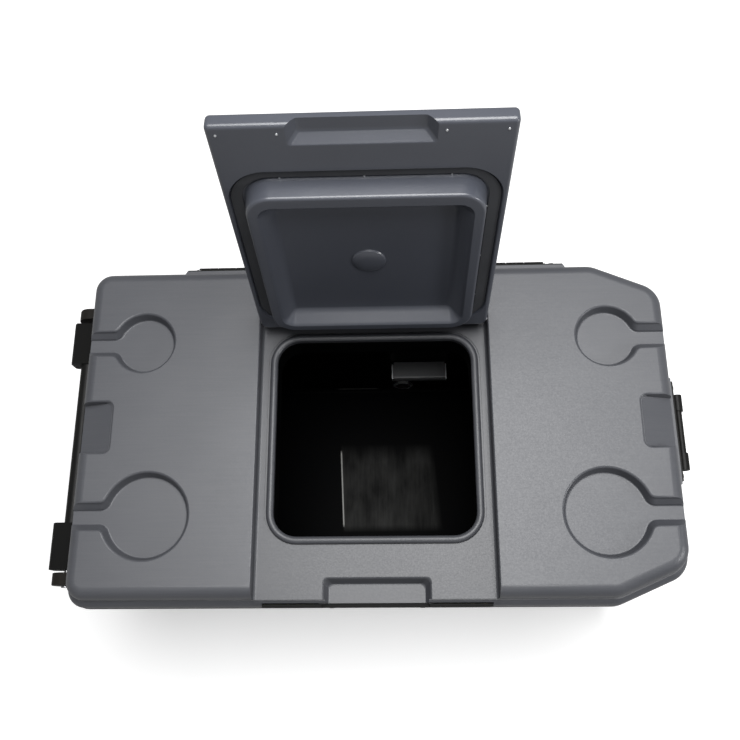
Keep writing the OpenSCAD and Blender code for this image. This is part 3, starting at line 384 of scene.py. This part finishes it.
def moulded(name, dark, light, roughness=0.5, streak=0.0, painted_channel_shade=0.0, shine=0.5):
    """Moulded plastic with a fine grain; the table also has streaks along X and painted shade in its sunk
    channel.
    """
    f = Finish(name)
    cloud = f.clamp(f.noise(6.0, 3.0), 0.3, 0.7)
    fine = f.noise(1100.0)
    peel = f.noise(480.0)
    tone = cloud * 0.6 + f.clamp(fine, 0.25, 0.75) * 0.4
    height = peel * 0.6 + fine * 0.4
    if streak:
        lines = f.noise(1.0, 2.0, f.stretched(18.0, 620.0, 18.0))
        tone = tone + (f.clamp(lines, 0.3, 0.7) - 0.5) * streak
        height = height + lines * streak
    colour = f.blend(tone, dark, light)
    if painted_channel_shade:
        # painted shade: the sunk channel between its walls is darkened towards black
        x, _, z = f.axes()
        edge = 6 * MM
        left, right = MID.x - CHANNEL_HALF * MM, MID.x + CHANNEL_HALF * MM
        across = f.clamp(x, left - edge, left) * f.clamp(x, right + edge, right)
        below = f.clamp(z, (TOP - 6) * MM, (TOP - 15) * MM)
        colour = f.blend(across * below * painted_channel_shade, colour, (0.0, 0.0, 0.0))
    return f.set(Base_Color=colour, Roughness=f.clamp(peel, -1.5, 2.0) * roughness * 2.0,
                 Normal=f.bump(height, 0.35, 0.00012), Specular_IOR_Level=shine)


def liner_finish():
    """Black, with a painted reflection on the cavity's floor and two painted highlight lines. Places are in
    metres.
    """
    f = Finish("liner_black")
    x, y, z = f.axes()
    left, right, front, back, edge = -0.0555, 0.096, -0.096, 0.040, 0.006
    on_floor = f.clamp(z, 0.075, 0.070)
    # the painted reflection widens a little towards the front
    lean_left, lean_right = x + y * 0.04, x + y * 0.09
    # painted reflection: a lighter rectangle on the cavity's floor
    painted_reflection = f.clamp(lean_left, left - 0.002, left + 0.001) * f.clamp(lean_right, right + edge, right - edge)
    painted_reflection = painted_reflection * f.clamp(y, front - edge, front + edge) * f.clamp(y, back + edge, back - 4 * edge)
    painted_reflection = painted_reflection * on_floor
    haze = f.clamp(f.noise(1.0, 4.0, f.stretched(30.0, 14.0, 14.0)), 0.3, 0.75)
    streaks = f.clamp(f.noise(1.0, 3.0, f.stretched(260.0, 22.0, 22.0)), 0.3, 0.7)
    # the painted highlight along the reflection's left side
    side_run = f.clamp(y, -0.094, -0.088) * f.clamp(y, 0.036, 0.030)
    painted_side_highlight = f.clamp(lean_left, left - 0.002, left - 0.001) * f.clamp(lean_left, left + 0.001, left)
    painted_side_highlight = painted_side_highlight * side_run * on_floor * 0.7
    # the painted glint along the back of the floor
    back_run = f.clamp(x, -0.066, -0.060) * f.clamp(x, 0.008, 0.002)
    painted_back_glint = f.clamp(y, 0.1425, 0.1435) * f.clamp(y, 0.1470, 0.1455)
    painted_back_glint = painted_back_glint * back_run * f.clamp(z, 0.0725, 0.0710) * 0.14
    tone = painted_reflection * (haze * 0.06 + streaks * 0.018 + 0.006) + painted_side_highlight + painted_back_glint
    return f.set(Base_Color=f.blend(tone, (0.0016, 0.0017, 0.0019), (0.450, 0.450, 0.435)),
                 Roughness=0.42 + painted_reflection * 0.1, Normal=f.bump(f.noise(700.0), 0.2, 0.00005),
                 Specular_IOR_Level=0.01)


def metal(name, dark, light, roughness, brushed=0.5):
    """Metal brushed along Y."""
    f = Finish(name)
    lines = f.noise(1.0, 2.0, f.stretched(500.0, 8.0, 500.0))
    haze = f.clamp(f.noise(30.0), 0.3, 0.7)
    return f.set(Base_Color=f.blend(haze, dark, light), Metallic=1.0,
                 Roughness=roughness + (lines - 0.5) * brushed * 0.2,
                 Normal=f.bump(lines, 0.15 * brushed, 0.0001))


def coated(name, dark, light):
    """Powder coat."""
    f = Finish(name)
    peel = f.noise(420.0)
    haze = f.clamp(f.noise(14.0, 3.0), 0.3, 0.7)
    return f.set(Base_Color=f.blend(haze, dark, light), Roughness=0.4 + (peel - 0.5) * 0.15,
                 Normal=f.bump(peel, 0.3, 0.0001), Specular_IOR_Level=0.14)


def rubbery(name, dark, light, roughness=0.75):
    """Dull and finely grained, for rubber and foam."""
    f = Finish(name)
    grain = f.noise(1500.0)
    haze = f.clamp(f.noise(20.0, 3.0), 0.3, 0.7)
    return f.set(Base_Color=f.blend(haze, dark, light), Roughness=roughness + (grain - 0.5) * 0.2,
                 Normal=f.bump(grain, 0.3, 0.0001))


SLOT_FINISH = {
    "table_plastic": moulded("table_grey", (0.060, 0.063, 0.073), (0.084, 0.087, 0.097), 0.37,
                             streak=0.3, painted_channel_shade=0.22, shine=0.6),
    "tub_plastic": moulded("tub_grey", (0.062, 0.065, 0.075), (0.082, 0.085, 0.095), 0.37, shine=0.6),
    "hatch_plastic": moulded("hatch_grey", (0.066, 0.072, 0.090), (0.089, 0.096, 0.117), 0.285, shine=0.85),
    "box_plastic": moulded("box_grey", (0.070, 0.072, 0.075), (0.105, 0.107, 0.111), 0.35),
    "black_plastic": moulded("black_plastic", (0.004, 0.004, 0.004), (0.008, 0.008, 0.0075), 0.45,
                             shine=0.08),
    "bracket_plastic": moulded("bracket_brown", (0.015, 0.0138, 0.0122), (0.022, 0.020, 0.018), 0.45,
                               shine=0.08),
    "liner_plastic": liner_finish(),
    "seal_rubber": rubbery("seal_rubber", (0.046, 0.048, 0.053), (0.060, 0.062, 0.068)),
    "grip_rubber": rubbery("grip_rubber", (0.012, 0.012, 0.012), (0.022, 0.022, 0.022)),
    "tyre_rubber": rubbery("tyre_rubber", (0.014, 0.014, 0.014), (0.028, 0.028, 0.027), 0.8),
    "foam": rubbery("foam_finish", (0.60, 0.52, 0.34), (0.72, 0.64, 0.44), 0.9),
    "black_metal": coated("black_coat", (0.006, 0.006, 0.006), (0.012, 0.012, 0.0115)),
    "bare_metal": metal("bare_steel", (0.24, 0.24, 0.245), (0.34, 0.34, 0.35), 0.25),
    "light_metal": metal("light_alloy", (0.78, 0.79, 0.80), (0.88, 0.89, 0.90), 0.38),
    "bright_metal": metal("bright_chrome", (0.75, 0.75, 0.76), (0.85, 0.85, 0.86), 0.08, brushed=0.1)}
SLOT_OF = {s["node"]: s["material_slot"] for s in frame["record"]["subparts"]}
BODY_OF = {n: b for b, members in frame["record"]["behaviour"]["bodies"].items() for n in members}
for node_name, node_obj in nodes.items():
    node_obj.data.materials.clear()
    node_obj.data.materials.append(SLOT_FINISH[SLOT_OF[node_name]])


# Table top
def table_solid():
    rings = [level(table_outline(), SKIRT_TOP - 6)]
    for t in turns(11.25, 9):
        plan = table_outline(inset=EDGE_R * (1 - math.cos(t)))
        rings.append(level(plan, TOP - EDGE_R * (1 - math.sin(t))))
    return lofted("table_top", rings)


def skirt_solid():
    """The lower step round the lid, sloping in at its top: (inset, z)."""
    levels = [(1.5, LID_BASE), (0.0, LID_BASE + 1.5), (0.0, SKIRT_TOP - 8), (0.7, SKIRT_TOP - 6),
              (2.2, SKIRT_TOP - 3.6), (4.4, SKIRT_TOP - 1.4), (7.0, SKIRT_TOP)]
    return lofted("skirt", [level(table_outline(*SKIRT_OUT, inset), z) for inset, z in levels])


def channel_cutter():
    r = CHANNEL_FILLET
    levels = [(-r + r * math.sin(t), CHANNEL_Z + r - r * math.cos(t)) for t in turns(15, 7)]
    levels += rolled_rim(TOP - 8)
    rings = []
    for grow, z in levels:
        plan = open_front(0, CHANNEL_HALF + grow, FAR_FRONT, CHANNEL_BACK + grow, r)
        rings.append(level(plan, z))
    return lofted("channel_cutter", rings)


def cup_plan(x, y, side, radius, half, blend):
    """Plan of a cup and its slot, joined by a fillet of radius blend."""
    cx = math.sqrt((radius + blend) ** 2 - (half + blend) ** 2)
    phi = math.degrees(math.atan2(half + blend, cx))
    pts = [(SLOT_REACH, -half), (SLOT_REACH, half)]
    pts += arc(cx, half + blend, blend, 270, 180 + phi, 5)
    pts += arc(0, 0, radius, phi, 360 - phi, 60)[1:-1]
    pts += arc(cx, -half - blend, blend, 180 - phi, 90, 5)
    return [(x + side * px, y + py) for px, py in pts]


def cup_cutter(x, y, side, radius):
    """A cup and its slot, from the floor's fillet to the rolled rim: (grow, half slot, z)."""
    floor, r = TOP - CUP_DEPTH, CUP_FILLET
    levels = []
    for t in turns(30, 4):
        grow = -CUP_DRAFT - r * (1 - math.sin(t))
        levels.append((grow, SLOT_FLOOR_HALF + (grow + CUP_DRAFT), floor + r * (1 - math.cos(t))))
    levels.append((-CUP_DRAFT + 0.15, SLOT_FLOOR_HALF, floor + r + 0.5))
    for rim_grow, z in rolled_rim(TOP - CUP_RIM - 0.3, CUP_RIM):
        grow = rim_grow - CUP_INSET
        levels.append((grow, SLOT_HALF + grow, z))
    return lofted("cup_cutter", [
        level(cup_plan(x, y, side, radius + grow, half, SLOT_BLEND - grow), z) for grow, half, z in levels])


def scoop_cutter(side):
    """A shallow scoop whose floor falls towards the table's end."""
    def plan(grow):
        r = SCOOP_R + grow
        w, cx = SCOOP_HALF + grow, SCOOP_INNER - grow + r
        corners = arc(cx, w - r, r, 90, 0, 5) + arc(cx, -w + r, r, 0, -90, 5)
        return [(SCOOP_REACH, -w), (SCOOP_REACH, w)] + [(2 * cx - px, py) for px, py in corners]

    def floor(px):
        return TOP - SCOOP_DEPTH - max(0.0, px - SCOOP_INNER - 2) * SCOOP_FALL / SCOOP_RUN

    rings = []
    for t in turns(30, 4):
        grow = -0.7 - SCOOP_FILLET * (1 - math.sin(t))
        lift = SCOOP_FILLET * (1 - math.cos(t))
        highest = TOP - SCOOP_RIM - 0.15
        rings.append([(px, SCOOP_Y + py, min(floor(px) + lift, highest)) for px, py in plan(grow)])
    for grow, z in rolled_rim(TOP - SCOOP_RIM - 0.05, SCOOP_RIM):
        rings.append([(px, SCOOP_Y + py, z) for px, py in plan(grow)])
    return lofted("scoop_cutter", [[(side * px, py, pz) for px, py, pz in ring] for ring in rings])


def opening_stack(name, levels):
    """Solid of rounded rectangles about the opening: (grow, z)."""
    return lofted(name, [level(rounded_rect(0, OPEN_Y, OPEN_W + 2 * g, OPEN_L + 2 * g, OPEN_R + g), z)
                         for g, z in levels])


def notch_cutter():
    """The finger notch at the front of the channel: (grow, height above the channel's floor)."""
    levels = [(-7.5, -12), (-6.0, -11.7), (-4.8, -10.6), (-1.0, -2.2), (0.0, -0.8), (1.2, -0.15),
              (3.0, 0.2)]
    rings = []
    for grow, height in levels:
        plan = open_front(NOTCH_X, NOTCH_HALF + grow, FAR_FRONT, NOTCH_BACK + grow, NOTCH_R)
        rings.append(level(plan, CHANNEL_Z + height))
    return lofted("notch_cutter", rings)


def hinge_boss():
    """Bar along the back that carries the hinge leaf, with sloping ends."""
    half, slope = 264, 5
    inner, shoulder, outer = HALF_D - 24, HALF_D + 1, HALF_D + 10
    plan = [(-half, inner), (half, inner), (half, shoulder), (half - slope, outer), (-half + slope, outer),
            (-half, shoulder)]
    return lofted("hinge_boss", [level(plan, LID_BASE), level(plan, SKIRT_TOP)])


def set_back_cutter():
    """Takes the middle of the lid's front edge back, with a small round at its top: (grow, z)."""
    levels = [(0, LID_BASE - 9), (0, SKIRT_TOP - 1.2), (0.4, SKIRT_TOP - 0.4), (1.5, SKIRT_TOP + 0.3)]
    rings = []
    for grow, z in levels:
        half, back = SET_BACK_HALF + grow, -HALF_D - 8 + SET_BACK + grow
        left, right = NOTCH_X - half, NOTCH_X + half
        rings.append(level([(left, FAR_FRONT), (right, FAR_FRONT), (right, back), (left, back)], z))
    return lofted("set_back", rings)


def hollow_cutter():
    """The lid's hollow underside, inside walls at its rim, round the opening and at the front."""
    base = LID_BASE - 9
    inside = table_outline(*SKIRT_OUT, 6.0)
    hollow = lofted("hollow", [level(inside, LID_BASE - 5), level(inside, LID_BASE + 20)])
    combine(hollow, opening_stack("hollow_core", [(9.0, base), (9.0, TOP)]))
    combine(hollow, block("hollow_front", -72, 72, FAR_FRONT, -186, base, TOP))
    combine(hollow, block("hollow_edge", -146, 150, FAR_FRONT, -214.8, base, TOP))
    return hollow


table = table_solid()
combine(table, skirt_solid(), "UNION")
combine(table, hinge_boss(), "UNION")
combine(table, channel_cutter())
for side in (-1, 1):
    for cup_x, cup_y, cup_r in CUPS:
        combine(table, cup_cutter(side * cup_x, cup_y, side, cup_r))
    combine(table, scoop_cutter(side))
combine(table, notch_cutter())
groove = opening_stack("groove", [(GROOVE_OUT, CHANNEL_Z - 1.2), (GROOVE_OUT, CHANNEL_Z + 3)])
combine(groove, opening_stack("groove_core", [(GROOVE_IN, CHANNEL_Z - 2), (GROOVE_IN, CHANNEL_Z + 4)]))
combine(table, groove)
combine(table, opening_stack("opening_cutter", [
    (3.0, LID_BASE - 10), (3.0, CHANNEL_Z - 4), (0.0, CHANNEL_Z - 4), (0.0, TOP + 10)]))
combine(table, set_back_cutter())
combine(table, hollow_cutter())
done(table, "lid", SLOT_FINISH["table_plastic"], "table_plastic", "deck", angle=28)

# Half-round bead round the opening: (grow, z)
half_turn = turns(11.25, 9)
bead = opening_stack("opening_bead", [(9.5, CHANNEL_Z - 1)] + [
    (BEAD_MID + BEAD_R * math.cos(t), CHANNEL_Z + BEAD_R * math.sin(t)) for t in half_turn[:8]] + [
    (4.6, CHANNEL_Z + 5)])
combine(bead, opening_stack("bead_core", [(0.0, CHANNEL_Z - 2), (0.0, CHANNEL_Z + 2.2)] + [
    (BEAD_MID - BEAD_R * math.cos(t), CHANNEL_Z + BEAD_R * math.sin(t)) for t in half_turn[3:8]] + [
    (4.4, CHANNEL_Z + 5), (4.4, CHANNEL_Z + 7)]))
done(bead, "lid", SLOT_FINISH["table_plastic"], "table_plastic", angle=50)


# Hatch
def hatch_plan(inset):
    w, f, b = HATCH_HALF - inset, HATCH_FRONT + inset, HATCH_BACK - inset
    rf, rb = HATCH_FRONT_R - inset, HATCH_BACK_R - inset
    return (arc(w - rb, b - rb, rb, 0, 90, 8) + arc(-w + rb, b - rb, rb, 90, 180, 8)
            + arc(-w + rf, f + rf, rf, 180, 270, 5) + arc(w - rf, f + rf, rf, 270, 360, 5))


def hatch_slab():
    r, quarter = HATCH_EDGE, turns(18, 6)
    lower = [level(hatch_plan(r * (1 - math.sin(t))), SLAB_Z + r * (1 - math.cos(t))) for t in quarter]
    upper = [level(hatch_plan(r * (1 - math.cos(t))), TOP - r * (1 - math.sin(t))) for t in quarter]
    return lofted("hatch_body", lower + upper)


def plug_stack(name, levels, shift=0.0, shorter=0.0):
    """Solid of rounded rectangles about the plug: (inset from the plug's base, z)."""
    rings = []
    for inset, z in levels:
        width = OPEN_W - 2 * (PLUG_GAP_X + inset)
        length = OPEN_L - 2 * (PLUG_GAP_Y + inset) - shorter
        r = max(OPEN_R - inset, PLUG_MIN_R)
        rings.append(level(rounded_rect(0, OPEN_Y + shift, width, length, r), z))
    return lofted(name, rings)


def seal_groove():
    """The groove for the hatch's seal, with rounded edges: (grow, height above the slab's face)."""
    rings = []
    for grow, height in ((1.6, -5), (1.6, -0.1), (0.6, 0.4), (0.0, 1.4), (-0.4, 3.6), (-1.8, 5)):
        width, length = OPEN_W + 2 * (14.2 + grow), OPEN_L + 2 * (10.2 + grow)
        rings.append(level(rounded_rect(0, OPEN_Y, width, length, OPEN_R + 12 + grow), SLAB_Z + height))
    return lofted("seal_groove", rings)


def pocket_cutter():
    """The finger pocket at the hatch's tip: (half width, back, height above the slab's face)."""
    levels = [(74.5, 29.0, -1.2), (72.6, 27.3, -0.1), (71.2, 25.9, 0.7), (69.2, 23.9, 2.2),
              (63.0, 17.8, 8.0), (61.4, 16.2, 8.8), (58.5, 13.3, 9.0)]
    return lofted("pocket", [[(x, HATCH_FRONT + y, SLAB_Z + h) for x, y in open_front(0, w, -9, b, 4)]
                             for w, b, h in levels])


hatch = hatch_slab()
combine(hatch, seal_groove())
plug = plug_stack("plug", [
    (5.2, FACE_Z - 0.2), (3.6, FACE_Z + 0.3), (2.4, FACE_Z + 1.3), (1.7, FACE_Z + 3.0), (0.2, SLAB_Z),
    (0.0, SLAB_Z + 2), (-1.2, SLAB_Z + 4.4), (-1.8, SLAB_Z + 7)])
combine(plug, plug_stack("pan", [
    (12.6, FACE_Z - 3), (12.6, FACE_Z - 0.6), (13.4, FACE_Z - 0.05), (14.9, FACE_Z + 0.9),
    (16.6, FACE_Z + 2.4), (24.5, PAN_Z - 5), (27.5, PAN_Z - 2.2), (30.0, PAN_Z - 0.7), (33.0, PAN_Z)],
    shift=1.5, shorter=3))
# the domed boss in the pan's middle: (radius, height)
dome = [(19.6, -1.0), (19.4, 0.5), (18.4, 1.8), (15.5, 2.9), (10.0, 3.6), (3.0, 3.9)]
combine(plug, lofted("boss", [level(arc(0, OPEN_Y, r, 0, 352.5, 47), PAN_Z - h) for r, h in dome]), "UNION")
combine(hatch, plug, "UNION")
combine(hatch, rod("barrel", "X", (0, PIN_Y, PIN_Z), 6, 272, 32), "UNION")
for side in (-1, 1):
    combine(hatch, rod("pin_bore", "X", (side * 150, PIN_Y, PIN_Z), 3.06, 62, 24))
combine(hatch, pocket_cutter())
hinge_line = spot(0, PIN_Y, PIN_Z)
open_turn = (Matrix.Translation(hinge_line) @ Matrix.Rotation(math.radians(-OPEN_ANGLE), 4, "X")
             @ Matrix.Translation(-hinge_line))
hatch.data.transform(open_turn)
done(hatch, "hatch", SLOT_FINISH["hatch_plastic"], "hatch_plastic", "hatch", angle=28)

# Stud ends: four at the tip, three at the plug's front wall and three at its right wall
stud_places = [(x, -202, SLAB_Z - 0.3, 1.35) for x in (-138, -80, 80, 138)]
stud_places += [(x, -139.9, SLAB_Z + 3.0, 1.1) for x in (-86, 0, 88)]
stud_places += [(127.2, y, SLAB_Z + 3.0, 1.1) for y in (-91, -6, 72)]
studs = joined("hatch_studs", [rod("stud", "Z", (x, y, z), r, 1.0, 16) for x, y, z, r in stud_places])
studs.data.transform(open_turn)
bevel_sharp(studs, 0.35, 2, 60)
done(studs, "hatch", SLOT_FINISH["light_metal"], "light_metal")

# The other pieces: CAD meshes with softened edges, and the width of their bevels
BEVELS = {
    "tub_shell": 1.6, "liner": 1.2, "deck_pan": 0.6, "deck_seal": 0.4, "hatch_seal": 0.4, "hatch_pins": 0.5,
    "tow_arm_front": 1.6, "tow_arm_rear": 1.6, "tow_bracket_front": 1.8, "tow_bracket_rear": 1.8,
    "tow_grip": 0.8, "tow_pins": 0.4, "tow_tube": 0.6, "tow_rail": 0.4, "side_base": 0.4, "side_rod": 0.6,
    "side_screws": 0.5, "latch_strap": 0.8, "latch_base": 0.5, "latch_pin": 0.4, "latch_keeper": 0.6,
    "wall_box": 1.0, "wall_box_rails": 0.3, "drain_cap": 0.8, "drain_nut": 0.3, "drain_tube": 0.4,
    "drain_washer": 0.3, "foot_front": 1.5, "foot_rear": 1.5, "tub_hinge_leaf": 0.5, "lid_hinge_leaf": 0.5,
    "hinge_rods": 0.4, "tub_hinge_screws": 0.5, "lid_hinge_screws": 0.5, "axle": 0.5, "axle_washers": 0.3,
    "axle_caps": 0.5, "hub_front": 0.8, "hub_rear": 0.8, "tyre_front": 1.0, "tyre_rear": 1.0}
OTHER_SLOT = {"side_rod": "black_metal", "deck_pan": "liner_plastic", "wall_box_rails": "light_metal",
              "drain_nut": "light_metal"}
for node_name, width in BEVELS.items():
    slot = OTHER_SLOT.get(node_name, SLOT_OF[node_name])
    done(softened(node_name, width), BODY_OF[node_name], SLOT_FINISH[slot], slot, node_name)

# Floor: near the object it takes its white from the lamps too, so that the shadow shows; far off it glows
BACKGROUND_RAYS = {"Is Camera Ray": 1.0, "Is Transmission Ray": 1.0, "Is Glossy Ray": 0.3}
GLOW_NEAR, GLOW_START, GLOW_FULL = 0.39, 0.7, 2.4
floor_finish = Finish("pale_floor")
rays = floor_finish.tree.nodes.new("ShaderNodeLightPath")
seen = sum(Wire(floor_finish.tree, rays.outputs[kind]) * share for kind, share in BACKGROUND_RAYS.items())
reach = floor_finish.node("VectorMath", "LENGTH", output=1, Vector=floor_finish.place)
glow = floor_finish.clamp(reach, GLOW_START, GLOW_FULL) * (1 - GLOW_NEAR) + GLOW_NEAR
floor_finish.set(Base_Color=floor_finish.blend(seen, (0.30, 0.30, 0.30), (0.95, 0.95, 0.95)), Roughness=0.9,
                 Emission_Color=floor_finish.blend(seen * glow, (0.0, 0.0, 0.0), (1.0, 1.0, 1.0)),
                 Emission_Strength=1.0, Specular_IOR_Level=0.1)
bpy.ops.object.select_all(action="DESELECT")
bpy.ops.mesh.primitive_plane_add(size=14, location=(0, 0, 0))
floor_obj = bpy.context.active_object
floor_obj.name = "floor"
floor_obj.data.materials.append(floor_finish.material)

# World: white to the camera, a third as bright in reflections, with hardly any light from it
world = bpy.data.worlds.new("studio")
bpy.context.scene.world = world
world.use_nodes = True
sky = world.node_tree
background = sky.nodes["Background"]
path = sky.nodes.new("ShaderNodeLightPath")
direct = sum(Wire(sky, path.outputs[kind]) * share for kind, share in BACKGROUND_RAYS.items())
strength = sky.nodes.new("ShaderNodeMapRange")
feed(sky, strength.inputs["Value"], direct)
strength.inputs["To Min"].default_value, strength.inputs["To Max"].default_value = 0.03, 1.0
background.inputs["Color"].default_value = (1, 1, 1, 1)
sky.links.new(strength.outputs[0], background.inputs["Strength"])


def lamp(name, place, target, size, power):
    light = bpy.data.lights.new(name, "AREA")
    light.shape = "DISK"
    light.size = size
    light.energy = power
    obj = bpy.data.objects.new(name, light)
    bpy.context.scene.collection.objects.link(obj)
    obj.location = place
    obj.rotation_euler = (Vector(target) - Vector(place)).to_track_quat("-Z", "Y").to_euler()


lamp("key", (0.24, 0.35, 2.9), (0.1, 0, 0.3), 2.1, 89)
lamp("front", (0.0, -1.6, 2.2), (0.1, 0.1, 0.5), 0.6, 3)
lamp("side", (1.6, -0.5, 1.1), (0.0, 0.1, 0.55), 0.4, 8)

# The photograph's view, nearly straight down and a little from the front: angles, place and lens
PITCH, YAW, ROLL = math.radians(73.0), math.radians(-6.7), math.radians(7.2)
EYE = spot(30.0, -49.9 - HALF_D, TOP + 976.3)
PIXELS, FOCAL_PIXELS, SHIFT_PIXELS, SENSOR = 740, 798.6, 30, 36
forward = Vector((math.sin(YAW) * math.cos(PITCH), math.cos(YAW) * math.cos(PITCH), -math.sin(PITCH)))
level_right = Vector((math.cos(YAW), -math.sin(YAW), 0))
level_down = forward.cross(level_right)
right = math.cos(ROLL) * level_right + math.sin(ROLL) * level_down
down = -math.sin(ROLL) * level_right + math.cos(ROLL) * level_down
camera_data = bpy.data.cameras.new("camera")
camera_data.sensor_width = SENSOR
camera_data.lens = FOCAL_PIXELS / PIXELS * SENSOR
camera_data.shift_y = SHIFT_PIXELS / PIXELS
camera_data.clip_end = 50
camera = bpy.data.objects.new("camera", camera_data)
bpy.context.scene.collection.objects.link(camera)
camera.matrix_world = Matrix.Translation(EYE) @ Matrix((right, -down, -forward)).transposed().to_4x4()
bpy.context.scene.camera = camera
bpy.context.scene.view_settings.view_transform = "Standard"
